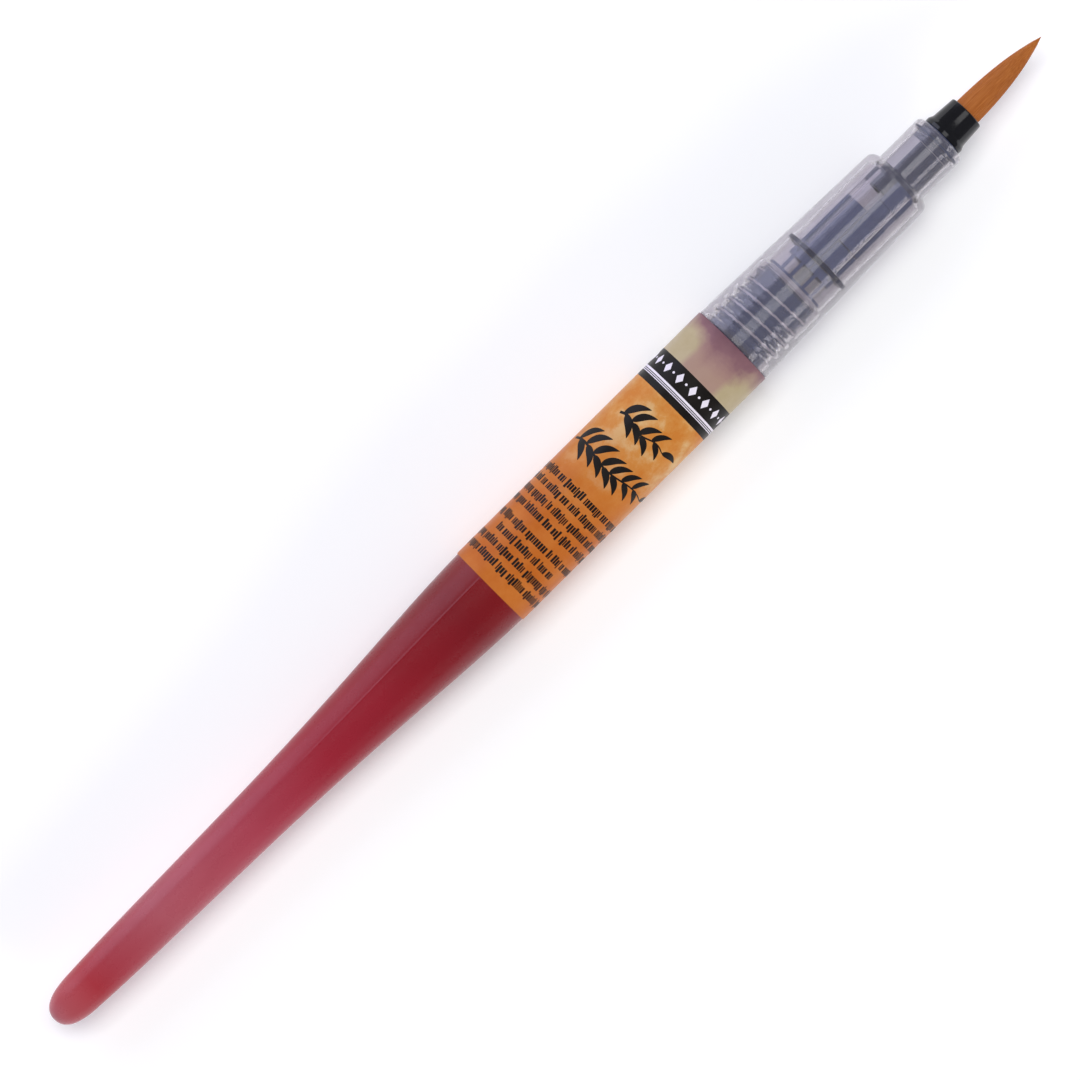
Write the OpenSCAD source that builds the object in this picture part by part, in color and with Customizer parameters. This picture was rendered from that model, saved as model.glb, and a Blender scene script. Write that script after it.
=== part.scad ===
// Squeeze brush pen, lying on its side: tail towards -X, hair tip towards +X, +Z up.
// The origin is at the bottom centre of the whole pen, on the surface that it lies on.
// Stations named x_... are distances from the tail's end, along the pen's axis.

/* [Barrel] */
// Length of the tapered handle behind the label
tail_len = 78.5; // [70:0.5:90]
// Length of the wrap-round label
label_len = 43.5; // [36:0.5:52]
// Outside diameter over the label
barrel_d = 12; // [12:0.1:13]
// Diameter of the handle just before its round end
tail_d = 5.76; // [5.2:0.02:6.4]
// Wall of the squeezable reservoir
wall = 0.8; // [0.6:0.05:1]

/* [Grip section] */
// Length of the clear grip section, without its nose
section_len = 30.3; // [29:0.1:34]
// Grip section's diameter at its front shoulder
section_front_d = 10.2; // [10:0.1:10.8]
// Diameter of the nose that a cap pushes onto
nose_d = 7.7; // [7.6:0.05:8]
// Length of the nose
nose_len = 7.3; // [7:0.1:9]

/* [Brush head] */
// Length of the ferrule in front of the nose
ferrule_len = 4.6; // [4:0.05:6]
// Diameter of the ferrule at its mouth
ferrule_d = 5; // [4.8:0.05:5.4]
// Free length of the hairs
tuft_len = 13.6; // [10:0.05:18]
// Diameter of the hair bundle at the ferrule
tuft_d = 3.86; // [3.6:0.02:3.86]

/* [Screw joint] */
// Thread pitch
pitch = 1.8; // [1.6:0.05:2]
// Turns of thread on the neck
neck_turns = 4.5; // [4:0.1:4.6]
// Turns of thread in the grip section
section_turns = 3.5; // [3:0.25:3.75]

/* [Hidden] */
$fn = 96;

// Clearance round loose inner pieces, and round pieces that are pressed in
play = 0.05;
press_play = 0.02;

// Stations along the outside
label_t = 0.12;
barrel_r = barrel_d / 2 - label_t;
x_label = tail_len;
x_label_end = x_label + label_len;
x_section = x_label_end + 0.2;
x_shoulder = x_section + section_len;
x_lip = x_shoulder + nose_len;
x_mouth = x_lip + ferrule_len;
x_tip = x_mouth + tuft_len;
axis_z = barrel_d / 2;

// Neck, plug and thread
neck_r = 4.3;
neck_bore_r = 3.5;
male_crest_r = 4.75;
female_root_r = 4.9;
female_crest_r = 4.45;
ridge_base_w = 1.1;
ridge_crest_w = 0.6;
ridge_steps = 24;
ridge_sink = 0.15;
thread_start = 1.8;
x_male = x_label_end + thread_start;
x_female = x_male - pitch / 2;
x_neck_end = x_male + neck_turns * pitch + 0.7;
barrel_edge = 0.1;
ink_end = 0.8;
x_plug = x_label_end + ink_end + play;
x_plug_end = x_neck_end - 0.45;
plug_hole_r = 0.9;
pad_r = 1.6;
pad_len = 4;

// Seal and feed
x_washer = x_neck_end + play;
washer_t = 0.5;
washer_r = 4.35;
through_r = 2.9;
x_crown = x_washer + washer_t + play;
crown_t = 0.3;
crown_r = 4.25;
x_block = x_crown + 2.6;
ring_t = 0.65;
x_ring = x_block + 1.2;
bridge_len = 3;
x_stem = x_shoulder - 3.3;
x_block_end = x_stem - bridge_len;
block_r = 3.42;
bridge_r = 2.95;
ring_groove = 0.3;
spigot_r = 1.9;
spigot_len = 3;
wick_r = 0.6;
wick_bore_r = 0.7;

// Bores and ribs of the grip section
seat_r = 4.5;
core_r = 4.25;
nose_bore_r = 2.95;
snap_groove_r = 3.3;
rib_in_r = 3.5;
rib_t = 0.7;
rib_angles = [for (i = [0:3]) 45 + 90 * i];

// Ferrule and hairs
stem_r = 2.85;
snap_r = 3.22;
flange_r = 3;
hair_bore_r = 2;
x_root = x_lip + 0.5;
x_bend = x_mouth + 0.1;
x_root_end = x_bend - tuft_d / 2 - 0.15;

// Point of a cubic Bezier curve with four control points, and points all along it
function bezier(p, t) =
    pow(1 - t, 3) * p[0] + 3 * t * pow(1 - t, 2) * p[1]
    + 3 * t * t * (1 - t) * p[2] + pow(t, 3) * p[3];
function curve(p, n = 16) = [for (i = [0:n]) bezier(p, i / n)];

// The points of an outline without its first one, and in the other order
function rest(points) = [for (i = [1:len(points) - 1]) points[i]];
function reversed(points) = [for (i = [len(points) - 1:-1:0]) points[i]];

// The points of an arc round a centre, from one angle to another
function arc(centre, r, from, to, n = 8) =
    [for (i = [0:n]) centre + r * [cos(from + (to - from) * i / n), sin(from + (to - from) * i / n)]];

// The handle's outline as [radius, station], inset evenly: a round end, a slim stem and a flare
function handle_outline(inset) =
    let (
        r = tail_d / 2 - inset,
        start = inset * 1.4,
        end_x = 0.07 * tail_len,
        stem_x = 0.4 * tail_len,
        mid_r = 1.245 * tail_d / 2 - inset,
        full_r = barrel_r - inset,
        flare_x = 1.045 * tail_len
    )
    concat(
        curve([[0, start], [0.59 * r, start], [0.965 * r, start + 0.019 * tail_len], [r, end_x]]),
        rest(curve([[r, end_x], [r + 0.4, 0.165 * tail_len], [mid_r - 0.27, 0.255 * tail_len],
            [mid_r, stem_x]])),
        rest(curve([[mid_r, stem_x], [mid_r + 0.46, 0.726 * tail_len], [full_r + 0.1, 0.88 * tail_len],
            [full_r, flare_x]]))
    );

// Turns a solid made round Z so that it lies along the pen's axis, starting at a station
module on_axis(x) {
    translate([x - x_tip / 2, 0, axis_z])
        rotate([0, 90, 0])
            children();
}

// A solid of revolution from [radius, station] points
module turned(points) {
    on_axis(0)
        rotate_extrude()
            polygon(points);
}

// A tube or, with no inner radius, a rod between two stations
module tube(x0, x1, r_out, r_in = 0) {
    turned([[r_in, x0], [r_out, x0], [r_out, x1], [r_in, x1]]);
}

// Everything on one side of the pen's upright middle plane, between two stations
module side_block(side, x0, x1) {
    translate([x0 - x_tip / 2, side > 0 ? play : -barrel_d - play, axis_z - barrel_d])
        cube([x1 - x0, barrel_d, 2 * barrel_d]);
}

// Radial plates round the axis, each reaching from an inner to an outer radius
module fins(x0, x1, r_in, r_out, thickness, angles) {
    for (a = angles)
        on_axis(x0)
            rotate(a)
                translate([r_in, -thickness / 2, 0])
                    cube([r_out - r_in, thickness, x1 - x0]);
}

// Upright plates along the pen at distances from its middle plane, cut round to a radius
module upright_plates(x0, x1, r, thickness, offsets) {
    intersection() {
        tube(x0, x1, r);
        for (y = offsets)
            translate([x0 - x_tip / 2, y - thickness / 2, axis_z - r])
                cube([x1 - x0, thickness, 2 * r]);
    }
}

// A right-hand helical ridge from base radius to crest radius, fading in and out at its ends
module thread_ridge(x0, base_r, crest_r, turns) {
    steps = round(turns * ridge_steps);
    fade_steps = 4;
    points = [
        for (i = [0:steps])
            let (
                a = 360 * i / ridge_steps,
                x = pitch * i / ridge_steps,
                k = min(1, (i + 0.5) / fade_steps, (steps - i + 0.5) / fade_steps),
                r = base_r + (crest_r - base_r) * k,
                u = [cos(a), sin(a)]
            )
            each [
                concat(base_r * u, x - ridge_base_w / 2),
                concat(r * u, x - ridge_crest_w / 2),
                concat(r * u, x + ridge_crest_w / 2),
                concat(base_r * u, x + ridge_base_w / 2)
            ]
    ];
    sides = [
        for (i = [0:steps - 1], j = [0:3])
            let (a = 4 * i + j, b = 4 * i + (j + 1) % 4)
            each [[a, b, b + 4], [a, b + 4, a + 4]]
    ];
    last = 4 * steps;
    ends = [[0, 3, 2], [0, 2, 1], [last, last + 1, last + 2], [last, last + 2, last + 3]];
    faces = concat(sides, ends);
    on_axis(x0)
        polyhedron(points, crest_r > base_r ? faces : [for (f = faces) [f[0], f[2], f[1]]]);
}

// Soft blow-moulded barrel: handle, ink chamber and threaded neck in one piece
module reservoir() {
    color([0.62, 0.1, 0.16]) {
        outer = concat(
            handle_outline(0),
            arc([barrel_r - barrel_edge, x_label_end - barrel_edge], barrel_edge, 0, 90, 4),
            [[neck_r, x_label_end], [neck_r, x_neck_end - 0.2], [neck_r - 0.2, x_neck_end],
                [neck_bore_r, x_neck_end]]
        );
        inner = concat(
            handle_outline(wall),
            [[barrel_r - wall, x_label_end - 2 * wall], [neck_bore_r, x_label_end - wall]]
        );
        turned(concat(outer, reversed(inner)));
        thread_ridge(x_male, neck_r - ridge_sink, male_crest_r, neck_turns);
    }
}

// Printed film wrapped round the barrel
module label() {
    color([0.83, 0.55, 0.25])
        tube(x_label, x_label_end - barrel_edge, barrel_d / 2, barrel_r);
}

// Ink that fills the reservoir up to the neck plug
module ink_charge() {
    color([0.5, 0.04, 0.09]) {
        skin = wall + play;
        turned(concat(
            handle_outline(skin),
            [[barrel_r - skin, x_label_end - 2 * wall - play],
                [neck_bore_r - play, x_label_end - wall - play],
                [neck_bore_r - play, x_label_end + ink_end], [0, x_label_end + ink_end]]
        ));
    }
}

// Stopper pressed into the neck, with a small ink hole and a wider pocket at its front
module neck_plug() {
    color([0.1, 0.11, 0.16]) {
        plug_r = neck_bore_r - press_play;
        turned([
            [plug_hole_r, x_plug], [plug_r - 0.3, x_plug], [plug_r, x_plug + 0.6],
            [plug_r, x_plug_end], [pad_r, x_plug_end], [pad_r, x_plug_end - pad_len],
            [plug_hole_r, x_plug_end - pad_len]
        ]);
    }
}

// Porous pad in the plug's pocket, which slows the ink
module restrictor_pad() {
    color([0.72, 0.78, 0.76])
        tube(x_plug_end - pad_len + play, x_plug_end - 0.1, pad_r - press_play);
}

// Soft ring between the neck's rim and the feed's crown
module seal_washer() {
    color([0.85, 0.85, 0.88])
        tube(x_washer, x_washer + washer_t, washer_r, through_r);
}

// Clear screw-on shell: tapered grip, rounded shoulder and nose, with ribs that hold the feed
module grip_section() {
    color([0.8, 0.79, 0.84]) {
        rear_r = barrel_d / 2 - 0.07;
        nose_r = nose_d / 2;
        round_r = section_front_d / 2 - nose_r;
        lip_r = 0.75;
        lip_bore_r = nose_bore_r + 0.08;
        x_seat = x_neck_end + play;
        x_ledge = x_ring + ring_t + play;
        turned(concat(
            [[female_root_r + 0.2, x_section], [rear_r - 0.15, x_section], [rear_r, x_section + 0.15]],
            arc([nose_r, x_shoulder - round_r], round_r, 0, 90),
            arc([nose_r - lip_r, x_lip - lip_r], lip_r, 0, 90),
            [[lip_bore_r, x_lip], [lip_bore_r, x_lip - 0.9], [snap_groove_r, x_lip - 1],
                [snap_groove_r, x_lip - 1.6], [lip_bore_r, x_lip - 1.7], [lip_bore_r, x_lip - 2.4],
                [nose_bore_r, x_lip - 2.45], [nose_bore_r, x_shoulder - 0.2], [core_r, x_shoulder - 1.5],
                [core_r, x_ledge], [seat_r, x_ledge], [seat_r, x_seat + 0.4], [female_root_r, x_seat],
                [female_root_r, x_section + 0.2]]
        ));
        thread_ridge(x_female, female_root_r + ridge_sink, female_crest_r, section_turns);
        fins(x_ledge + 0.4, x_shoulder - 1.3, rib_in_r, core_r + 0.3, rib_t, rib_angles);
    }
}

// The half of the feed that carries the ink groove on into the ferrule, with a collar round its stem
module feed_channel() {
    color([0.12, 0.13, 0.19])
        difference() {
            union() {
                feed_half(-1, x_block_end);
                intersection() {
                    union() {
                        tube(x_block_end - 1, x_stem - 0.2, bridge_r);
                        tube(x_stem - 0.8, x_stem - 0.2, block_r);
                        tube(x_stem - 0.3, x_shoulder - 0.9, block_r, stem_r + play);
                        tube(x_stem - 1, x_stem + spigot_len, spigot_r);
                    }
                    side_block(-1, x_block_end - 2, x_stem + spigot_len + 1);
                }
            }
            wick_bore();
            vent_slit(x_block + 5.1);
        }
}

// The shorter half of the feed, which closes the ink groove
module feed_cover() {
    color([0.15, 0.16, 0.23])
        difference() {
            feed_half(1, x_block_end);
            wick_bore();
        }
}

// One half of the feed up to a station: crown, plates behind the block, grooved block
module feed_half(side, x_end) {
    groove_angles = [for (i = [-1:1]) side * 90 + 38 * i];
    intersection() {
        difference() {
            union() {
                tube(x_crown, x_crown + crown_t, crown_r, through_r);
                upright_plates(x_crown + 0.1, x_block + 0.3, through_r + 0.4, 0.45, [side * 1.1, side * 2.6]);
                tube(x_block, x_end, block_r);
            }
            fins(x_block + 0.6, x_end + 1, block_r - 0.45, block_r + 1, 0.4, groove_angles);
            tube(x_ring - play, x_ring + ring_t + play, block_r + 1, block_r - ring_groove);
        }
        side_block(side, x_crown - 1, x_end + 1);
    }
}

// Bore for the wick through both halves of the feed
module wick_bore() {
    tube(x_crown - 1, x_stem + spigot_len + 1, wick_bore_r);
}

// Narrow cross slit that lets air back past the feed
module vent_slit(x) {
    slit_w = 0.25;
    tube(x, x + slit_w, block_r + 1, 2.2);
}

// Disc that clamps the feed's halves and seats them in the grip section, with air notches
module feed_ring() {
    color([0.07, 0.07, 0.11]) {
        ring_r = seat_r - press_play;
        difference() {
            tube(x_ring, x_ring + ring_t, ring_r, block_r - ring_groove + press_play);
            fins(x_ring - 1, x_ring + 2, ring_r - 0.35, ring_r + 1, 0.5, rib_angles);
        }
    }
}

// Fibre rod that carries ink from the pad to the roots of the hairs
module wick() {
    color([0.9, 0.86, 0.82]) {
        x_start = x_plug_end + play;
        x_end = x_root_end - 0.6;
        turned([[0, x_start], [wick_r - 0.2, x_start], [wick_r, x_start + 0.3], [wick_r, x_end], [0, x_end]]);
    }
}

// Black holder of the hairs: stem inside the nose, snap ring, base flange and tapered mouth
module ferrule() {
    color([0.05, 0.05, 0.07]) {
        edge = 0.12;
        flare = 0.32;
        taper_r = stem_r - 0.13;
        turned(concat(
            [[hair_bore_r, x_stem], [stem_r - 0.2, x_stem], [stem_r, x_stem + 0.2],
                [stem_r, x_lip - 1.55], [snap_r, x_lip - 1.45], [snap_r, x_lip - 1.15],
                [stem_r, x_lip - 0.95], [stem_r, x_lip + 0.1], [flange_r, x_lip + 0.1],
                [flange_r, x_lip + 0.75], [taper_r, x_lip + 1.25]],
            arc([ferrule_d / 2 - edge, x_mouth - edge], edge, 0, 90, 4),
            [[hair_bore_r + flare - 0.05, x_mouth], [hair_bore_r, x_mouth - flare]]
        ));
        moulding_mark(x_shoulder + 1.9);
    }
}

// Small raised ring on the ferrule's stem, a moulding mark
module moulding_mark(x) {
    height = 0.06;
    intersection() {
        tube(x - 2, x + 2, stem_r + height, stem_r - 0.2);
        on_axis(x)
            rotate([0, 90, -144])
                difference() {
                    cylinder(r = 0.8, h = 4);
                    translate([0, 0, -1])
                        cylinder(r = 0.5, h = 6);
                }
    }
}

// Bound and fused roots of the hairs, fixed in the ferrule
module tuft_root() {
    color([0.5, 0.3, 0.14]) {
        root_r = hair_bore_r - press_play;
        turned([
            [wick_bore_r, x_root], [root_r - 0.15, x_root], [root_r, x_root + 0.15], [root_r, x_root_end],
            [0, x_root_end], [0, x_root_end - 0.5], [wick_bore_r, x_root_end - 0.5]
        ]);
    }
}

// Free hairs drawn to a point, with a round rear end that turns in the ferrule's mouth as they bend
module tuft() {
    color([0.72, 0.42, 0.18]) {
        r = tuft_d / 2;
        hair_len = x_tip - x_bend;
        turned(concat(
            arc([0, x_bend], r, -90, 0, 12),
            rest(curve([[r, x_bend], [r + 0.08, x_bend + 0.3 * hair_len],
                [0.72 * r, x_bend + 0.62 * hair_len],
                [0.03, x_tip]], 20)),
            [[0, x_tip]]
        ));
    }
}

reservoir();
label();
ink_charge();
neck_plug();
restrictor_pad();
seal_washer();
grip_section();
feed_channel();
feed_cover();
feed_ring();
wick();
ferrule();
tuft_root();
tuft();
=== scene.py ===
"""Looks of the squeeze brush pen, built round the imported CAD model.

The pen lies along +X with its hairs at the +X end. Lengths are in metres. A place round the
pen is an angle in radians from the top, growing towards +Y.
"""

import math
import random

import bmesh
import bpy
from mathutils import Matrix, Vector


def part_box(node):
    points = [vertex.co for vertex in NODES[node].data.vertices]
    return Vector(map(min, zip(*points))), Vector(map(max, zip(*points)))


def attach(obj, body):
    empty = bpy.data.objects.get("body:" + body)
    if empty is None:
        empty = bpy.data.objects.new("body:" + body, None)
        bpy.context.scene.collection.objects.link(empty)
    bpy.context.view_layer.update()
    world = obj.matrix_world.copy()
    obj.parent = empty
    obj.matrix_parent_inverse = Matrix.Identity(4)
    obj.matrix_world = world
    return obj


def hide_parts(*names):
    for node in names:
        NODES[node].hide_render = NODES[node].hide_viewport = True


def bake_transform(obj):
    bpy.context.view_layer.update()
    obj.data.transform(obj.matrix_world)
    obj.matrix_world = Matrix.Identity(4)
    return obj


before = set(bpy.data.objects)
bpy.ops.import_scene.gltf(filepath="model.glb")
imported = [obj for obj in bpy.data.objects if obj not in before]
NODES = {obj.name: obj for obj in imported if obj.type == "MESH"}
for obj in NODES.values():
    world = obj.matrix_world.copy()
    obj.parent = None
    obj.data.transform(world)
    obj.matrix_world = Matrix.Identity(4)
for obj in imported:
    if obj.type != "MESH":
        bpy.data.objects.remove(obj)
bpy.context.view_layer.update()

MM = 0.001
TURN = 2 * math.pi


def span(node):
    """A node's first and last place along the pen."""
    low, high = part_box(node)
    return low.x, high.x


def radius(node):
    """A round node's largest radius."""
    low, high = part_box(node)
    return (high.y - low.y) / 2


TAIL_X, NECK_END = span("reservoir")
LABEL_X0, LABEL_X1 = span("label")
GRIP_X0, LIP_X = span("grip_section")
RING_X1 = span("feed_ring")[1]
STEM_X, MOUTH_X = span("ferrule")
HAIR_X0, TIP_X = span("tuft")
BARREL_R = radius("reservoir")
LABEL_R = radius("label")
GRIP_R = radius("grip_section")
HAIR_R = radius("tuft")
AXIS_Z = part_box("label")[1].z - LABEL_R

# Barrel
WALL = 0.8 * MM
HANDLE_END_R = 2.88 * MM
HANDLE_STEM_R = 1.245 * HANDLE_END_R
NECK_X = LABEL_X1 + 0.1 * MM
NECK_R = 4.3 * MM
NECK_BORE_R = 3.5 * MM

# Screw thread between the neck and the grip section
PITCH = 1.8 * MM
THREAD_H = 0.45 * MM
NECK_TURNS = 4.5
GRIP_TURNS = 3.5

# Grip section
SEAT_X = NECK_END + 0.05 * MM
LEDGE_X = RING_X1 + 0.05 * MM
SHOULDER_X = LIP_X - 7.3 * MM
SOCKET_R = 4.9 * MM
SHELL_BORE_R = 4.25 * MM
NOSE_R = 3.85 * MM
NOSE_BORE_R = 3.03 * MM
RIB_TIP_R = 3.5 * MM
RIB_X0, RIB_X1 = LEDGE_X + 0.4 * MM, SHOULDER_X - 1.3 * MM
RIB_ANGLES = [math.radians(45 + 90 * i) for i in range(4)]
RIB_HALF = math.asin(0.35 / 3.9)  # a rib is 0.7 mm thick at a radius of 3.9 mm


# ---------------------------------------------------------------- shapes


def vectors(*points):
    """(x, r) pairs as vectors."""
    return [Vector(p) for p in points]


def bezier(points, n=16):
    """(x, r) points along a cubic Bezier curve with four control points."""
    a, b, c, d = [Vector(p) for p in points]
    return [
        a * (1 - t) ** 3 + b * 3 * t * (1 - t) ** 2 + c * 3 * t * t * (1 - t) + d * t**3
        for t in [i / n for i in range(n + 1)]
    ]


def arc(centre, r, start, end, n=8):
    """(x, r) points of an arc, with its angles in degrees from the pen's direction."""
    turns = [math.radians(start + (end - start) * i / n) for i in range(n + 1)]
    return [Vector((centre[0] + r * math.cos(a), centre[1] + r * math.sin(a))) for a in turns]


def resample(points, step):
    """The same outline with no stretch longer than step."""
    out = [points[0]]
    for one, two in zip(points, points[1:]):
        parts = max(1, math.ceil((two - one).length / step))
        out += [one.lerp(two, (i + 1) / parts) for i in range(parts)]
    return out


def round_pen(x, angle, r):
    """The point at a place along the pen, an angle round it and a distance from its axis."""
    return Vector((x, r * math.sin(angle), AXIS_Z + r * math.cos(angle)))


def evenly(n):
    """Angles round the pen."""
    return [TURN * i / n for i in range(n)]


def filled_in(fine, n, gap):
    """Some angles, with those of n even ones that are further than gap from all of them."""
    return sorted(fine + [a for a in evenly(n) if min(abs(a - f) for f in fine) > gap])


def from_nearest(angle, marks):
    """How far an angle is past the nearest of some angles round the pen, less than 0 before it."""
    return min([math.remainder(angle - one, TURN) for one in marks], key=abs)


def rings(outline, angles, lift=None):
    """Rings of points round the pen at each (x, r) of an outline. lift adds to the radius."""
    made = []
    for x, r in outline:
        if r < 1e-7:
            made.append([round_pen(x, 0, 0)])
        else:
            made.append([round_pen(x, a, r + (lift(x, r, a) if lift else 0)) for a in angles])
    return made


def thread(x, angle, x0, turns, height, foot=1.1 * MM):
    """What a right-hand thread ridge adds to the radius at a place. foot is its width there."""
    flank = foot * 0.23
    lead = (math.pi - angle) / TURN
    turn = round((x - x0) / PITCH - lead)
    along = turn + lead
    off = abs((x - x0) / PITCH - along) * PITCH
    shape = min(1, max(0, (foot / 2 - off) / flank))
    # The ridge reaches its full height a sixth of a turn from either end.
    fade = min(1, max(0, 6 * min(along, turns - along)))
    return height * shape * fade


def skin(bm, loops, closed=False, zone=None):
    """Faces between neighbouring rings of points round the pen. A ring of one point is a pole."""
    made = [[bm.verts.new(p) for p in loop] for loop in loops]
    pairs = list(zip(made, made[1:]))
    if closed:
        pairs.append((made[-1], made[0]))
    for k, (one, two) in enumerate(pairs):
        n = max(len(one), len(two))
        for i in range(n if n > 1 else 0):
            j = (i + 1) % n
            if len(one) == 1:
                corners = (one[0], two[i], two[j])
            elif len(two) == 1:
                corners = (one[i], two[0], one[j])
            else:
                corners = (one[i], two[i], two[j], one[j])
            face = bm.faces.new(corners)
            face.material_index = zone(k) if zone else 0
    return made


def mark(bm, index, chosen):
    """Gives a material to the faces whose middle, as (x, radius, angle), is chosen."""
    for face in bm.faces:
        middle = face.calc_center_median()
        angle = math.atan2(middle.y, middle.z - AXIS_Z) % TURN
        if chosen(middle.x, math.hypot(middle.y, middle.z - AXIS_Z), angle):
            face.material_index = index


def new_piece(name, bm, materials, sharp=35):
    """An object in the row frame, smooth except where it bends by more than sharp degrees."""
    mesh = bpy.data.meshes.new(name)
    bm.to_mesh(mesh)
    bm.free()
    mesh.shade_smooth()
    mesh.set_sharp_from_angle(angle=math.radians(sharp))
    for made in materials:
        mesh.materials.append(made)
    piece = bpy.data.objects.new(name, mesh)
    bpy.context.scene.collection.objects.link(piece)
    return piece


def placed(piece, body, slot, *nodes):
    """The piece rides on a body and stands for CAD nodes, which it hides. slot is not used."""
    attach(piece, body)
    if nodes:
        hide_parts(*nodes)
    return piece


# ---------------------------------------------------------------- materials


def linear(red, green, blue):
    """An sRGB colour, 0 to 255, as linear RGBA."""
    shares = [c / 255 for c in (red, green, blue)]
    return [s / 12.92 if s <= 0.04045 else ((s + 0.055) / 1.055) ** 2.4 for s in shares] + [1]


class Surface:
    """A material with one Principled shader, and short ways to drive it."""

    def __init__(self, name, **values):
        self.material = bpy.data.materials.new(name)
        self.material.use_nodes = True
        self.tree = self.material.node_tree
        self.shader = self.tree.nodes["Principled BSDF"]
        for socket, value in values.items():
            self.shader.inputs[socket.replace("_", " ")].default_value = value

    def node(self, kind, **settings):
        """A new shader node with some of its settings."""
        made = self.tree.nodes.new(kind)
        for key, value in settings.items():
            setattr(made, key, value)
        return made

    def feed(self, value, socket):
        """Sets a socket from another socket, an sRGB colour or a number."""
        if isinstance(value, tuple):
            socket.default_value = linear(*value)
        elif isinstance(value, (int, float)):
            socket.default_value = value
        else:
            self.tree.links.new(value, socket)

    def place(self, stretch=(1, 1, 1)):
        """The place on the piece in the row frame, stretched."""
        mapping = self.node("ShaderNodeMapping")
        mapping.inputs["Scale"].default_value = stretch
        self.feed(self.node("ShaderNodeTexCoord").outputs["Object"], mapping.inputs["Vector"])
        return mapping.outputs["Vector"]

    def scaled(self, value, low, high, to_low=0.0, to_high=1.0):
        """A value's range mapped to another range, and held there."""
        part = self.node("ShaderNodeMapRange")
        for socket, given in zip(part.inputs, (value, low, high, to_low, to_high)):
            self.feed(given, socket)
        return part.outputs[0]

    def along(self, x0, x1):
        """0 to 1 along the pen between two places."""
        split = self.node("ShaderNodeSeparateXYZ")
        self.feed(self.place(), split.inputs[0])
        return self.scaled(split.outputs["X"], x0, x1)

    def beside(self, middle, y0, y1):
        """0 to 1 between two distances from an upright plane along the pen."""
        split = self.node("ShaderNodeSeparateXYZ")
        self.feed(self.place(), split.inputs[0])
        off = self.math("SUBTRACT", split.outputs["Y"], middle)
        return self.scaled(self.math("ABSOLUTE", off, 0), y0, y1)

    def noise(self, size, detail=4.0, stretch=(1, 1, 1), rough=0.5):
        """Noise whose features are about size metres, around 0.5."""
        made = self.node("ShaderNodeTexNoise")
        made.inputs["Scale"].default_value = 1 / size
        made.inputs["Detail"].default_value = detail
        made.inputs["Roughness"].default_value = rough
        self.feed(self.place(stretch), made.inputs["Vector"])
        return made.outputs["Fac"]

    def math(self, operation, a, b):
        """The result of a calculation with two values."""
        made = self.node("ShaderNodeMath", operation=operation)
        self.feed(a, made.inputs[0])
        self.feed(b, made.inputs[1])
        return made.outputs[0]

    def ramp(self, factor, stops):
        """A colour ramp from {place: sRGB colour}."""
        made = self.node("ShaderNodeValToRGB")
        band = made.color_ramp.elements
        while len(band) < len(stops):
            band.new(0.5)
        for element, (at, colour) in zip(band, sorted(stops.items())):
            element.position = at
            element.color = linear(*colour)
        self.feed(factor, made.inputs["Fac"])
        return made.outputs["Color"]

    def mix(self, factor, a, b, how="MIX"):
        """Two colours mixed by a factor."""
        made = self.node("ShaderNodeMix", data_type="RGBA", blend_type=how)
        # The node's factor is its socket 0, and its colours are sockets 6 and 7.
        for index, value in ((0, factor), (6, a), (7, b)):
            self.feed(value, made.inputs[index])
        return made.outputs[2]

    def paint(self, colour):
        """Sets the base colour."""
        self.feed(colour, self.shader.inputs["Base Color"])

    def painted(self):
        """What the base colour comes from so far."""
        return self.shader.inputs["Base Color"].links[0].from_socket

    def gloss(self, value, low, high):
        """Roughness from low to high as a noise goes up."""
        self.feed(self.scaled(value, 0.3, 0.7, low, high), self.shader.inputs["Roughness"])

    def bump(self, height, depth):
        """Small relief, depth metres deep, that follows a value."""
        made = self.node("ShaderNodeBump")
        made.inputs["Distance"].default_value = depth
        self.feed(height, made.inputs["Height"])
        self.feed(made.outputs["Normal"], self.shader.inputs["Normal"])

    def let_lamps_in(self, tint, share):
        """Lamps reach what is behind the surface, as they do through thin clear plastic."""
        clear = self.node("ShaderNodeBsdfTransparent")
        clear.inputs["Color"].default_value = linear(*tint)
        shadow = self.node("ShaderNodeLightPath").outputs["Is Shadow Ray"]
        joined = self.node("ShaderNodeMixShader")
        self.feed(self.math("MULTIPLY", shadow, share), joined.inputs[0])
        self.feed(self.shader.outputs[0], joined.inputs[1])
        self.feed(clear.outputs[0], joined.inputs[2])
        self.feed(joined.outputs[0], self.tree.nodes["Material Output"].inputs["Surface"])


def satin_red():
    """Translucent red plastic with ink behind it: rosy towards the tail, deep red by the label."""
    made = Surface("satin red", Specular_IOR_Level=0.3)
    place = made.along(TAIL_X, LABEL_X0)
    base = made.ramp(place, {
        0.0: (188, 108, 118), 0.03: (176, 80, 88), 0.09: (168, 52, 62), 0.14: (169, 64, 76),
        0.25: (173, 85, 97), 0.45: (165, 62, 78), 0.62: (152, 34, 50), 0.82: (136, 24, 36),
        0.93: (121, 19, 29), 1.0: (124, 20, 26),
    })
    clouds = made.scaled(made.noise(7 * MM, 3, (0.5, 1, 1)), 0.35, 0.65, 0.0, 0.35)
    made.paint(made.mix(clouds, base, made.mix(1.0, base, (225, 200, 205), "MULTIPLY")))
    made.gloss(made.noise(1.5 * MM, 5), 0.24, 0.34)
    made.bump(made.noise(0.5 * MM, 2), 0.006 * MM)
    return made.material


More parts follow.
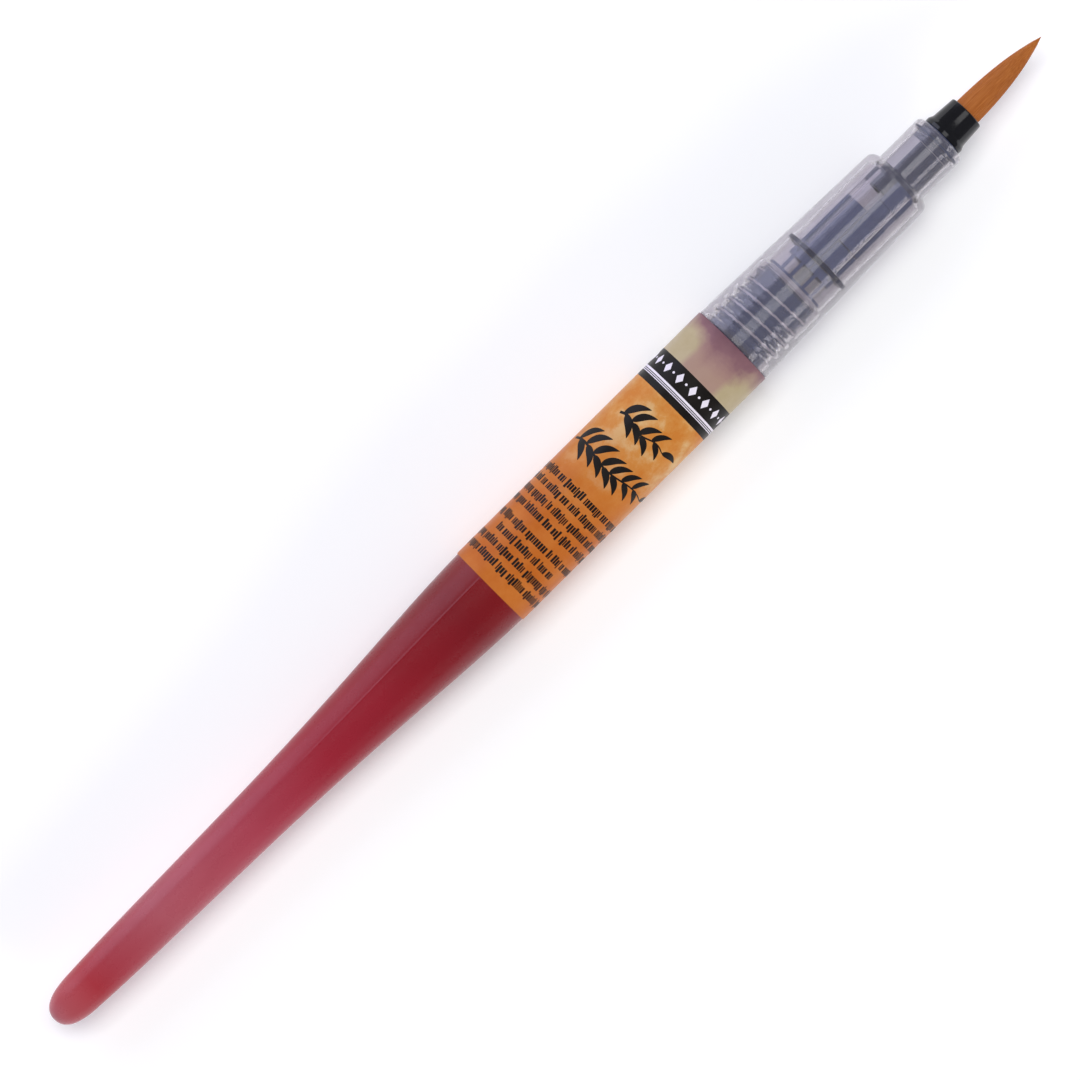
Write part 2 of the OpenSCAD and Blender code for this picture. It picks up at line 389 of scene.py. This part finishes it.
def milky_clear(name, haze):
    """Clear plastic with a lavender haze, through which the inner parts show."""
    made = Surface(name, IOR=1.08, Transmission_Weight=1 - haze, Coat_Weight=1.0, Coat_Roughness=0.08)
    tone = made.scaled(made.noise(4 * MM, 3), 0.3, 0.7)
    made.paint(made.mix(tone, (226, 222, 227), (219, 214, 219)))
    made.gloss(made.noise(2 * MM, 4), 0.22, 0.25)
    made.let_lamps_in((236, 233, 238), 0.94)
    return made.material


def smoky_neck():
    """The neck's clear plastic, darkened by the stopper that fills it."""
    made = Surface("smoky neck", IOR=1.06, Transmission_Weight=0.86)
    tone = made.scaled(made.noise(3 * MM, 3), 0.3, 0.7)
    made.paint(made.mix(tone, (150, 160, 190), (162, 170, 198)))
    made.gloss(made.noise(2 * MM, 4), 0.2, 0.3)
    made.let_lamps_in((225, 228, 240), 0.9)
    return made.material


def edge_highlight_paint():
    """Painted highlights: a whiter, hazier clear plastic for corners and crests of the clear mouldings
    and a strip in the nose, painting in the white lines of light they catch.
    """
    return milky_clear("painted edge highlight", 0.85)


def dark_satin(name, dark, light):
    """Moulded dark plastic of the inner parts."""
    made = Surface(name, Specular_IOR_Level=0.2)
    made.paint(made.mix(made.scaled(made.noise(1.2 * MM, 5), 0.3, 0.7), dark, light))
    made.gloss(made.noise(0.8 * MM, 4), 0.4, 0.55)
    made.bump(made.noise(0.15 * MM, 3), 0.004 * MM)
    return made.material


def gloss_black():
    """Polished black plastic of the ferrule."""
    made = Surface("gloss black", Specular_IOR_Level=0.4)
    made.paint(made.mix(made.scaled(made.noise(1 * MM, 4), 0.3, 0.7), (9, 9, 14), (15, 15, 20)))
    made.gloss(made.noise(0.6 * MM, 5), 0.1, 0.16)
    made.bump(made.noise(0.25 * MM, 3), 0.003 * MM)
    return made.material


def fibre(name, dark, light):
    """Pressed fibre of the wick, the pad and the bound roots, with its grain along the pen."""
    made = Surface(name, Roughness=0.85, Specular_IOR_Level=0.2)
    grain = made.noise(0.12 * MM, 4, (0.12, 1, 1))
    made.paint(made.mix(made.scaled(grain, 0.35, 0.65), dark, light))
    made.bump(grain, 0.03 * MM)
    return made.material


def soft_rubber():
    """Pale matt rubber of the sealing washer."""
    made = Surface("seal rubber", Roughness=0.6, Specular_IOR_Level=0.35)
    tone = made.scaled(made.noise(1 * MM, 4), 0.3, 0.7)
    made.paint(made.mix(tone, (196, 194, 204), (222, 220, 228)))
    made.bump(made.noise(0.1 * MM, 3), 0.006 * MM)
    return made.material


def red_ink():
    """Dark red liquid."""
    made = Surface("red ink", Roughness=0.12, IOR=1.35)
    made.paint(made.mix(made.scaled(made.noise(6 * MM, 3), 0.3, 0.7), (96, 10, 22), (122, 14, 28)))
    return made.material


def printed(name, colours, size):
    """Label print: washed colours over satin film, in clouds of about size metres."""
    made = Surface(name, Specular_IOR_Level=0.14)
    steps = {i / (len(colours) - 1): c for i, c in enumerate(colours)}
    clouds = made.scaled(made.noise(size, 5, rough=0.6), 0.34, 0.66)
    made.paint(made.ramp(clouds, steps))
    made.gloss(made.noise(1.5 * MM, 4), 0.3, 0.4)
    made.bump(made.noise(0.3 * MM, 2), 0.003 * MM)
    return made


def orange_wash():
    """Orange watercolour, paler and more mottled towards the black bands."""
    made = printed("orange wash", [(182, 95, 30), (188, 103, 38), (194, 113, 48)], 5 * MM)
    strong = made.painted()
    pale = made.ramp(made.scaled(made.noise(4 * MM, 6, rough=0.65), 0.36, 0.62), {
        0.0: (198, 122, 50), 0.5: (203, 139, 70), 1.0: (211, 171, 118),
    })
    made.paint(made.mix(made.along(LABEL_X0 + 13 * MM, LABEL_X0 + 28 * MM), strong, pale))
    return made.material


def parchment():
    """Cream with a rosy wash along its middle and a mauve cloud that deepens towards the neck."""
    made = printed("parchment", [(174, 158, 124), (183, 167, 138)], 4 * MM)
    cream = made.painted()
    drift = made.scaled(made.noise(5 * MM, 4, (1, 0.8, 0.8), 0.55), 0.3, 0.7, -0.25, 0.25)
    middle = made.math("ADD", made.beside(0, 3.5 * MM, 2.3 * MM), drift)
    blush = made.mix(made.scaled(middle, 0.2, 0.9, 0.0, 0.8), cream, (163, 129, 121))
    near = made.math("ADD", made.along(LABEL_X1 - 4.8 * MM, LABEL_X1 + 0.2 * MM), drift)
    sides = made.scaled(made.beside(-0.4 * MM, 1.5 * MM, 5.2 * MM), 0, 1, 0, 0.3)
    place = made.math("SUBTRACT", near, sides)
    mauve = made.ramp(made.scaled(place, 0.2, 1.0), {
        0.0: (154, 117, 117), 0.5: (132, 96, 103), 1.0: (110, 76, 86),
    })
    made.paint(made.mix(made.scaled(place, 0.1, 0.6), blush, mauve))
    return made.material


def amber_hair():
    """Golden synthetic hair, each strand a little lighter or darker along its length."""
    made = Surface("amber hair", Specular_IOR_Level=0.2)
    streak = made.noise(0.12 * MM, 3, (0.03, 1, 1))
    made.paint(made.ramp(made.scaled(streak, 0.3, 0.7), {
        0.0: (159, 88, 35), 0.5: (172, 100, 43), 1.0: (182, 111, 53),
    }))
    made.gloss(streak, 0.35, 0.5)
    return made.material


# ---------------------------------------------------------------- barrel


SEAM_ANGLES = [math.radians(16), math.radians(196)]


def seam_lift(x, r, angle):
    """Fine mould seam, clear near the label and fading out towards the tail."""
    height = 0.07 * MM
    half_width = 0.13 * MM
    plain_len = 42 * MM
    fade_len = 16 * MM
    fade = min(1, max(0, (x - TAIL_X - plain_len) / fade_len))
    across = from_nearest(angle, SEAM_ANGLES) * r
    return height * fade * math.exp(-((across / half_width) ** 2))


def handle_outline(inset):
    """Round end, slim stem and flare up to the label, inset evenly."""
    length = LABEL_X0 - TAIL_X
    end_r = HANDLE_END_R - inset
    stem_r = HANDLE_STEM_R - inset
    full_r = BARREL_R - inset
    start = TAIL_X + 1.4 * inset

    def at(share):
        return TAIL_X + share * length

    end = bezier([
        (start, 0),
        (start, 0.59 * end_r),
        (start + 0.019 * length, 0.965 * end_r),
        (at(0.07), end_r),
    ], 20)
    stem = bezier([
        (at(0.07), end_r),
        (at(0.165), end_r + 0.4 * MM),
        (at(0.255), stem_r - 0.27 * MM),
        (at(0.4), stem_r),
    ])
    flare = bezier([
        (at(0.4), stem_r),
        (at(0.726), stem_r + 0.46 * MM),
        (at(0.88), full_r + 0.1 * MM),
        (at(1.045), full_r),
    ])
    return end + stem[1:] + flare[1:]


def barrel_outlines():
    """The barrel's outer outline from tail to neck, and its inner one."""
    edge = 0.1 * MM
    chamfer = 0.2 * MM
    outer = resample(handle_outline(0), 1.5 * MM)
    outer += arc((NECK_X - edge, BARREL_R - edge), edge, 90, 0, 5)
    outer += resample(vectors(
        (NECK_X, NECK_R),
        (NECK_END - chamfer, NECK_R),
        (NECK_END, NECK_R - chamfer),
        (NECK_END, NECK_BORE_R),
    ), 0.09 * MM)
    inner = handle_outline(WALL)
    inner += vectors((NECK_X - 2 * WALL, BARREL_R - WALL), (NECK_X - WALL, NECK_BORE_R))
    return outer, inner


def barrel_wall(red, neck_clear, crest):
    """The whole blow-moulded barrel: handle, ink chamber, shoulder and threaded neck, with painted
    highlights on the thread crests and the neck's rim.
    """
    thread_x = NECK_X + PITCH
    crest_foot = 0.36 * MM

    def outer_lift(x, r, angle):
        if x > NECK_X + 0.2 * MM and r > NECK_R - 0.01 * MM:
            return thread(x, angle, thread_x, NECK_TURNS, THREAD_H)
        return seam_lift(x, r, angle) if x < LABEL_X0 else 0

    # Painted highlights: the thread's crests and the neck's rim take the whiter edge paint, standing in
    # for the light they catch.
    def thread_rim_highlights(x, r, angle):
        if x > NECK_END - 0.21 * MM:
            return r > NECK_R - 0.25 * MM
        ridge = x > NECK_X and r > NECK_R + 0.4 * MM
        return ridge and thread(x, angle, thread_x, NECK_TURNS, 1, crest_foot) > 0.5

    outer, inner = barrel_outlines()
    outline = outer + inner[::-1]
    fine = [seam + math.radians(step * 0.35) for seam in SEAM_ANGLES for step in range(-9, 10)]
    angles = filled_in(fine, 216, 0.01)
    bm = bmesh.new()
    loops = rings(outer, angles, outer_lift) + rings(inner[::-1], angles)
    skin(bm, loops, zone=lambda k: 1 if outline[k].x > LABEL_X1 - 0.02 * MM else 0)
    mark(bm, 2, thread_rim_highlights)
    piece = new_piece("barrel_wall", bm, [red, neck_clear, crest])
    return placed(piece, "barrel", "barrel_plastic", "reservoir")


# ---------------------------------------------------------------- label


FILM_R = LABEL_R - 0.015 * MM
PRINT_R = LABEL_R - 0.004 * MM

# Each band's kind, and where it ends in millimetres from the label's start. Parchment is last.
BANDS = [
    ("wash", 32.5), ("black", 33.5), ("white", 33.62), ("black", 33.74), ("white", 33.85),
    ("black", 33.97), ("white", 34.27), ("black", 37.2),
]


def label_film(inks):
    """The printed film, in bands from the handle to the neck."""
    names = list(inks)
    edge = 0.02 * MM
    end_x = GRIP_X0 - 0.06 * MM
    inner_r = BARREL_R + 0.005 * MM
    outline = vectors((LABEL_X0, FILM_R - edge), (LABEL_X0 + edge, FILM_R))
    outline += [Vector((LABEL_X0 + end * MM, FILM_R)) for _, end in BANDS]
    outline += vectors(
        (end_x - edge, FILM_R),
        (end_x, FILM_R - edge),
        (end_x, inner_r),
        (LABEL_X0, inner_r),
    )
    kinds = ["wash"] + [kind for kind, _ in BANDS] + ["parchment", "parchment"]
    kinds += ["white"] * (len(outline) - len(kinds))
    bm = bmesh.new()
    skin(bm, rings(outline, evenly(288)), closed=True, zone=lambda k: names.index(kinds[k]))
    return placed(new_piece("label_film", bm, list(inks.values())), "barrel", "label_film", "label")


def brushed(bm, path, across=4):
    """A flat stroke of ink on the film. path holds (arc length round the barrel, x, half-width)."""
    foot_r = FILM_R - 0.01 * MM
    sections = []
    for k, (u, x, half) in enumerate(path):
        before, after = path[max(0, k - 1)], path[min(len(path) - 1, k + 1)]
        run = Vector((after[0] - before[0], after[1] - before[1])).normalized()
        offs = [half * (2 * j / across - 1) for j in range(across + 1)]
        corners = [(off, PRINT_R) for off in offs] + [(off, foot_r) for off in offs[::-1]]
        points = [round_pen(x + run.x * off, (u - run.y * off) / FILM_R, r) for off, r in corners]
        sections.append([bm.verts.new(p) for p in points])
    n = len(sections[0])
    for one, two in zip(sections, sections[1:]):
        for j in range(n):
            bm.faces.new((one[j], one[(j + 1) % n], two[(j + 1) % n], two[j]))
    bm.faces.new(sections[0][::-1])
    bm.faces.new(sections[-1])


def filler_line(bm, draw, x, start, end):
    """One line of the small print as rows of plain ticks, grouped like words."""
    tick_gap = 0.1 * MM
    word_gap = 0.28 * MM
    u = start * FILM_R
    while u > end * FILM_R:
        for _ in range(draw.randint(2, 9)):
            up = draw.choice((0.45, 0.45, 0.45, 0.7)) * MM
            down = draw.choice((0.45, 0.45, 0.45, 0.45, 0.68)) * MM
            half = draw.choice((0.09, 0.15, 0.17)) * MM
            u -= half + tick_gap
            brushed(bm, [(u, x - down, half), (u, x + up, half)], 2)
            u -= half
        u -= word_gap


def small_print(bm):
    """Two blocks of four lines of ticks. The third line of the first block is a short one."""
    draw = random.Random(7)
    line_gap = 1.87 * MM
    for block, block_x in enumerate((LABEL_X0 + 2.55 * MM, LABEL_X0 + 10.65 * MM)):
        for line in range(4):
            start, end = draw.uniform(1.75, 1.95), draw.uniform(-1.9, -1.7)
            if (block, line) == (0, 2):
                start, end = 0.95, -0.75
            filler_line(bm, draw, block_x + line_gap * line, start, end)


def leaf(bm, u, x, reach, lean, half):
    """One brushed leaf from its foot on the stem."""
    path = []
    for t in [i / 12 for i in range(13)]:
        bow = 0.12 * reach * math.sin(math.pi * t)
        path.append((
            u + reach * t * math.sin(lean) + bow * math.cos(lean),
            x + reach * t * math.cos(lean) - bow * math.sin(lean),
            0.03 * MM + half * math.sin(math.pi * t**0.7) ** 0.9,
        ))
    brushed(bm, path)


def sprig(bm, x, start, end, pairs, reach, half):
    """A leafy sprig drawn across the barrel, in place of the printed title."""
    stem = []
    for t in [i / 40 for i in range(41)]:
        u = (start + (end - start) * t) * FILM_R
        stem.append((u, x + 0.35 * MM * math.sin(3 * math.pi * t), (0.2 - 0.13 * t) * MM))
    brushed(bm, stem)
    # Pairs of leaves stand evenly along the stem, smaller and smaller, with one leaf at its end.
    for k in range(pairs):
        u, foot, _ = stem[3 + round(34 * k / pairs)]
        size = 1 - 0.35 * k / pairs
        leaf(bm, u, foot, reach * size, -0.75, half * size)
        leaf(bm, u - 0.35 * MM, foot, 0.85 * reach * size, math.pi + 0.85, half * size)
    u, foot, _ = stem[-1]
    leaf(bm, u, foot, 0.8 * reach, -1.5, 0.8 * half)


def label_print(ink):
    """Small print and sprigs, in one piece of ink on the film."""
    bm = bmesh.new()
    small_print(bm)
    sprig(bm, LABEL_X0 + 21.2 * MM, 1.3, -1.2, 7, 3.9 * MM, 0.52 * MM)
    sprig(bm, LABEL_X0 + 27.4 * MM, 0.75, -0.6, 4, 3.7 * MM, 0.5 * MM)
    return placed(new_piece("label_print", bm, [ink]), "barrel", "label_film")


def band_ornament(ink):
    """Row of pale diamonds and dots round the black band."""
    bm = bmesh.new()
    middle = LABEL_X0 + 35.74 * MM
    count = 32
    for k in range(count):
        u = (k + 0.5) * TURN / count * FILM_R
        if k % 2:
            sizes = [(-0.8, 0.02), (0, 0.52), (0.8, 0.02)]
        else:
            turns = [math.radians(a) for a in range(-80, 81, 20)]
            sizes = [(0.17 * math.sin(a), 0.17 * math.cos(a)) for a in turns]
        brushed(bm, [(u, middle + along * MM, half * MM) for along, half in sizes])
    return placed(new_piece("band_ornament", bm, [ink]), "barrel", "label_film")


# ---------------------------------------------------------------- grip section


def grip_outlines():
    """The grip section's outer outline towards the lip, and its bore back from the lip."""
    shoulder_round = 1.25 * MM
    lip_round = 0.75 * MM
    rim = 0.15 * MM
    outer = vectors((GRIP_X0, GRIP_R - rim), (GRIP_X0 + rim, GRIP_R))
    outer += arc((SHOULDER_X - shoulder_round, NOSE_R), shoulder_round, 90, 0, 12)
    outer += arc((LIP_X - lip_round, NOSE_R - lip_round), lip_round, 90, 0, 10)
    snap_r = 3.3 * MM
    step_r = 2.95 * MM
    rib_foot_r = 4.05 * MM
    ring_r = 4.5 * MM
    bore = vectors(
        (LIP_X, NOSE_BORE_R),
        (LIP_X - 0.9 * MM, NOSE_BORE_R),
        (LIP_X - 1.0 * MM, snap_r),
        (LIP_X - 1.6 * MM, snap_r),
        (LIP_X - 1.7 * MM, NOSE_BORE_R),
        (LIP_X - 2.4 * MM, NOSE_BORE_R),
        (LIP_X - 2.45 * MM, step_r),
        (SHOULDER_X - 0.2 * MM, step_r),
        (RIB_X1 + 0.01 * MM, rib_foot_r),
        (RIB_X1, rib_foot_r),
        (SHOULDER_X - 1.5 * MM, SHELL_BORE_R),
        (RIB_X0, SHELL_BORE_R),
        (RIB_X0 - 0.01 * MM, SHELL_BORE_R),
        (LEDGE_X, SHELL_BORE_R),
        (LEDGE_X, ring_r),
        (SEAT_X + 0.4 * MM, ring_r),
        (SEAT_X, SOCKET_R),
    )
    inner = resample(bore, 2 * MM)
    inner += resample([inner[-1], Vector((GRIP_X0 + 0.2 * MM, SOCKET_R))], 0.09 * MM)[1:]
    inner.append(Vector((GRIP_X0, SOCKET_R + 0.2 * MM)))
    return resample(outer, 2 * MM), inner


def grip_angles():
    """Even angles round the grip section, with close ones at both sides of each rib."""
    step = math.radians(0.02)
    strip = 0.026
    breaks = [RIB_HALF - step, RIB_HALF + step, RIB_HALF - strip, RIB_HALF + strip]
    sides = [rib + way * off for rib in RIB_ANGLES for way in (-1, 1) for off in breaks]
    return filled_in(sides, 240, 0.006)


def rib_corner_highlights(x, r, angle):
    """Painted highlights: one foot and one tip corner of each rib, given the whiter edge paint where
    they would catch the light.
    """
    near = 0.05 * MM
    width = 0.03
    off = from_nearest(angle, RIB_ANGLES)
    foot = r > SHELL_BORE_R - near and 0 < off - RIB_HALF < width
    tip = r < RIB_TIP_R + near and 0 < off + RIB_HALF < width
    return RIB_X0 < x < RIB_X1 and r < SHELL_BORE_R + near and (foot or tip)


def nose_highlights(x, r, angle):
    """Painted highlights: the step in the nose's bore, the corner at the shoulder, and a pale strip in
    the bore where a reflection of the lamps is painted.
    """
    near = 0.12 * MM
    step_x = LIP_X - 2.42 * MM
    step = r < 3.1 * MM and abs(x - step_x) < near
    corner = NOSE_R - 0.1 * MM < r < NOSE_R + 0.3 * MM and abs(x - SHOULDER_X) < near
    strip = r < 3 * MM and SHOULDER_X < x < LIP_X - 2.5 * MM and 0.55 < angle < 1.2
    return step or corner or strip


def grip_shell(clear, edge):
    """Clear screw-on shell with its inner thread, ledges, ribs and nose, and painted highlights on the
    rib corners and in the nose.
    """
    thread_x = NECK_X + PITCH / 2

    def inner_lift(x, r, angle):
        if x < SEAT_X and r > SOCKET_R - 0.01 * MM:
            return thread(x, angle, thread_x, GRIP_TURNS, -THREAD_H)
        on_rib = RIB_X0 <= x <= RIB_X1 and abs(from_nearest(angle, RIB_ANGLES)) < RIB_HALF
        return RIB_TIP_R - r if on_rib else 0

    outer, inner = grip_outlines()
    angles = grip_angles()
    bm = bmesh.new()
    skin(bm, rings(outer, angles) + rings(inner, angles, inner_lift), closed=True)
    # edge is the whiter paint for the painted highlights.
    mark(bm, 1, rib_corner_highlights)
    mark(bm, 1, nose_highlights)
    return placed(new_piece("grip_shell", bm, [clear, edge]), "head", "clear_plastic", "grip_section")


# ---------------------------------------------------------------- hairs


def tuft_r(x):
    """Radius of the whole bundle of hairs at a place."""
    mouth = MOUTH_X + 0.1 * MM
    t = max(0, (x - mouth) / (TIP_X - mouth))
    return HAIR_R * (1 - 0.23 * t**1.35 - 0.77 * t**2.6) ** 0.92 if t < 1 else 0


def tuft_bend(x):
    """How far the hairs lean towards +Y at a place."""
    t = max(0, (x - MOUTH_X) / (TIP_X - MOUTH_X))
    return 0.16 * MM * t * t


def strand(bm, angle, share, end, thick, draw):
    """One hair from the ferrule's inside to its tip, as a thin six-sided tube."""
    sway = draw.uniform(-0.12, 0.12)
    start = HAIR_X0 + 0.6 * MM
    steps = 16
    loops = []
    for k in range(steps + 1):
        t = k / steps
        x = start + (end - start) * t
        width = thick * (1 - 0.85 * t**4)
        r = max(0, share * (tuft_r(x) - thick) * (1 - 0.04 * t))
        a = angle + sway * t * t
        centre = round_pen(x, a, r) + Vector((0, tuft_bend(x), 0))
        loops.append([centre + Vector((0, width * math.sin(b), width * math.cos(b))) for b in evenly(6)])
    made = skin(bm, loops)
    bm.faces.new(made[0])
    bm.faces.new(made[-1][::-1])


def hair_tuft(hair):
    """The bundle: a core, and strands over it that run together at the tip."""
    draw = random.Random(11)
    bm = bmesh.new()
    core_start, core_end = HAIR_X0 + 0.3 * MM, TIP_X - 0.5 * MM
    xs = [core_start + (core_end - core_start) * i / 30 for i in range(31)]
    core = [(xs[0], 0)] + [(x, 0.93 * tuft_r(x)) for x in xs[:-1]] + [(core_end, 0)]
    made = rings([Vector(p) for p in core], evenly(48))
    skin(bm, [[p + Vector((0, tuft_bend(p.x), 0)) for p in ring] for ring in made])
    for count, share, thick in ((132, 1.0, 0.062), (120, 0.97, 0.055)):
        for k in range(count):
            angle = TURN * (k + draw.uniform(-0.3, 0.3)) / count
            end = TIP_X - draw.uniform(0.0, 2.2) * draw.random() ** 2 * MM
            strand(bm, angle, share, end, thick * draw.uniform(0.8, 1.1) * MM, draw)
    piece = new_piece("hair_tuft", bm, [hair], 60)
    # The bend would end past the tip, so the hairs curve more and more along their length.
    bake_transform(piece)
    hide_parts("tuft")
    return piece


# ---------------------------------------------------------------- ferrule and inner parts


def ferrule_outline():
    """Closed outline of the ferrule: outside from the stem to the mouth, then its bore."""
    stem_r = 2.85 * MM
    snap_r = 3.32 * MM
    flange_r = 3 * MM
    flange_edge_r = 2.94 * MM
    mouth_r = 2.5 * MM
    bore_r = 2.0 * MM
    edge = 0.22 * MM
    outside = vectors(
        (STEM_X, stem_r - 0.2 * MM),
        (STEM_X + 0.2 * MM, stem_r),
        (LIP_X - 1.35 * MM, stem_r),
        (LIP_X - 1.25 * MM, snap_r),
        (LIP_X - 0.95 * MM, snap_r),
        (LIP_X - 0.85 * MM, stem_r),
        (LIP_X + 0.1 * MM, stem_r),
        (LIP_X + 0.1 * MM, flange_edge_r),
        (LIP_X + 0.16 * MM, flange_r),
        (LIP_X + 0.65 * MM, flange_r),
        (LIP_X + 0.8 * MM, flange_edge_r),
        (LIP_X + 1.25 * MM, 2.72 * MM),
    )
    mouth = arc((MOUTH_X - edge, mouth_r - edge), edge, 82, 0, 8)
    bore = vectors((MOUTH_X, bore_r + 0.2 * MM), (MOUTH_X - 0.25 * MM, bore_r), (STEM_X, bore_r))
    return resample(outside, 0.2 * MM) + mouth + bore


def ferrule_body(black, stem):
    """Stem, snap ring, base flange, tapered mouth with a rounded edge, and a moulding ring."""
    outline = ferrule_outline()
    ring_x = LIP_X - 5.4 * MM
    ring_angle = math.radians(-36)
    ring_r = 0.65 * MM

    def moulding_ring(x, r, angle):
        across = from_nearest(angle, [ring_angle]) * r
        out = math.hypot(x - ring_x, across)
        height = max(0, 1 - abs(out - ring_r) / (0.2 * MM))
        return 0.05 * MM * height if r > 2.8 * MM else 0

    bm = bmesh.new()
    made = rings(outline, evenly(200), moulding_ring)
    skin(bm, made, closed=True, zone=lambda k: 1 if outline[k].x < LIP_X else 0)
    piece = new_piece("ferrule_body", bm, [black, stem], 40)
    return placed(piece, "head", "black_plastic", "ferrule")


def clamp_ring(dark):
    """Disc that clamps the feed, pressed against the clear shell, with four air notches."""
    x0, x1 = span("feed_ring")
    outer_r = 4.52 * MM
    bore_r = 3.14 * MM
    edge = 0.06 * MM
    outline = vectors(
        (x0, outer_r - edge),
        (x0 + edge, outer_r),
        (x1 - edge, outer_r),
        (x1, outer_r - edge),
        (x1, bore_r),
        (x0, bore_r),
    )

    def notch(x, r, angle):
        near_rib = abs(from_nearest(angle, RIB_ANGLES)) < 0.055
        return -0.35 * MM if r > 4 * MM and near_rib else 0

    bm = bmesh.new()
    skin(bm, rings(outline, evenly(240), notch), closed=True)
    return placed(new_piece("clamp_ring", bm, [dark]), "head", "dark_plastic", "feed_ring")


def stopper(dark):
    """Plug pressed into the neck, with a grip groove, an ink hole and a pocket for the pad."""
    x0, x1 = span("neck_plug")
    plug_r = 3.53 * MM
    groove_r = plug_r - 0.12 * MM
    pocket_x, pocket_r = x1 - 4 * MM, 1.6 * MM
    hole_r = 0.9 * MM
    outline = vectors(
        (x0, plug_r - 0.3 * MM),
        (x0 + 0.6 * MM, plug_r),
        (x0 + 1.6 * MM, plug_r),
        (x0 + 1.75 * MM, groove_r),
        (x0 + 2.05 * MM, groove_r),
        (x0 + 2.2 * MM, plug_r),
        (x1 - 0.1 * MM, plug_r),
        (x1, plug_r - 0.1 * MM),
        (x1, pocket_r),
        (pocket_x, pocket_r),
        (pocket_x, hole_r),
        (x0, hole_r),
    )
    bm = bmesh.new()
    skin(bm, rings(resample(outline, 1 * MM), evenly(180)), closed=True)
    return placed(new_piece("stopper", bm, [dark]), "barrel", "dark_plastic", "neck_plug")


def finish_inner_parts():
    """Better materials for the CAD nodes whose shape stays."""
    dark = dark_satin("feed plastic", (84, 98, 142), (96, 110, 156))
    finishes = {
        "feed_channel": dark,
        "feed_cover": dark,
        "seal_washer": soft_rubber(),
        "restrictor_pad": fibre("pad felt", (160, 178, 174), (206, 218, 214)),
        "wick": fibre("wick fibre", (160, 164, 186), (194, 194, 208)),
        "tuft_root": fibre("bound roots", (96, 54, 22), (150, 92, 42)),
        "ink_charge": red_ink(),
    }
    for node, material in finishes.items():
        slots = NODES[node].data.materials
        slots.clear()
        slots.append(material)


# ---------------------------------------------------------------- studio


def area_light(name, aim, azimuth, zenith, distance, size, power, colour=(255, 255, 255)):
    """A rectangular lamp that looks at the pen. azimuth is from +X, zenith from straight up."""
    lamp = bpy.data.lights.new(name, "AREA")
    lamp.shape = "RECTANGLE"
    lamp.size, lamp.size_y = size
    lamp.energy = power
    lamp.color = linear(*colour)[:3]
    made = bpy.data.objects.new(name, lamp)
    bpy.context.scene.collection.objects.link(made)
    turn, tilt = math.radians(azimuth), math.radians(zenith)
    way = Vector((math.sin(tilt) * math.cos(turn), math.sin(tilt) * math.sin(turn), math.cos(tilt)))
    made.location = Vector(aim) + distance * way
    made.rotation_euler = way.to_track_quat("Z", "Y").to_euler()
    return made


def pale_floor():
    """Plain floor that glows a little, so that it stays white away from the lamps."""
    bm = bmesh.new()
    bmesh.ops.create_grid(bm, x_segments=8, y_segments=8, size=0.9)
    pale = Surface("pale floor", Roughness=0.95, Specular_IOR_Level=0.1)
    tone = pale.scaled(pale.noise(0.1, 3), 0.3, 0.7)
    pale.paint(pale.mix(tone, (246, 246, 247), (249, 249, 250)))
    pale.shader.inputs["Emission Color"].default_value = linear(255, 255, 255)
    pale.shader.inputs["Emission Strength"].default_value = 0.13
    new_piece("floor", bm, [pale.material])


def even_light():
    """Dim light from all round."""
    world = bpy.data.worlds.new("even light")
    world.use_nodes = True
    back = world.node_tree.nodes["Background"]
    back.inputs["Color"].default_value = linear(248, 249, 255)
    back.inputs["Strength"].default_value = 0.27
    bpy.context.scene.world = world


def studio():
    """Soft lamps round the pen, and the renderer's light settings."""
    middle = (0, 0, AXIS_Z)
    key = area_light("key", middle, 90, 15, 1.2, (0.6, 0.5), 5.9)
    key.visible_glossy = False
    key.visible_transmission = False
    area_light("softbox", middle, 90, 66, 0.9, (0.75, 0.8), 3.7, (225, 228, 255))
    area_light("front panel", middle, 0, 19, 1.38, (0.7, 0.7), 3.0)
    fill = area_light("fill", middle, -90, 70, 1.0, (0.6, 0.4), 4.2)
    fill.visible_glossy = False
    scene = bpy.context.scene
    scene.view_settings.view_transform = "Standard"
    scene.cycles.use_denoising = True
    scene.cycles.max_bounces = 16
    scene.cycles.transmission_bounces = 16
    scene.cycles.transparent_max_bounces = 16
    scene.cycles.caustics_refractive = False
    scene.cycles.caustics_reflective = False


def camera():
    """Straight above, with the pen from the lower left to the upper right."""
    height = 0.8
    lens = bpy.data.cameras.new("camera")
    lens.sensor_width = 36
    lens.lens = 208.7
    made = bpy.data.objects.new("camera", lens)
    bpy.context.scene.collection.objects.link(made)
    made.location = (-1.8 * MM, -0.3 * MM, height + AXIS_Z)
    made.rotation_euler = (0, 0, math.radians(-44.83))
    bpy.context.scene.camera = made


# ---------------------------------------------------------------- the whole pen


camera()
pale_floor()
even_light()
studio()
black = printed("black print", [(22, 19, 18), (31, 27, 25)], 3 * MM).material
white = printed("white print", [(226, 218, 232), (234, 228, 238)], 3 * MM).material
clear = milky_clear("milky clear", 0.06)
# edge is the whiter paint for the painted highlights on the clear mouldings' corners, crests and nose.
edge = edge_highlight_paint()
barrel_wall(satin_red(), smoky_neck(), edge)
label_film({"wash": orange_wash(), "black": black, "white": white, "parchment": parchment()})
label_print(black)
band_ornament(white)
stopper(dark_satin("stopper plastic", (72, 96, 140), (84, 108, 154)))
clamp_ring(dark_satin("ring plastic", (22, 24, 52), (32, 34, 64)))
grip_shell(clear, edge)
ferrule_body(gloss_black(), dark_satin("stem plastic", (62, 70, 98), (76, 84, 112)))
hair_tuft(amber_hair())
finish_inner_parts()
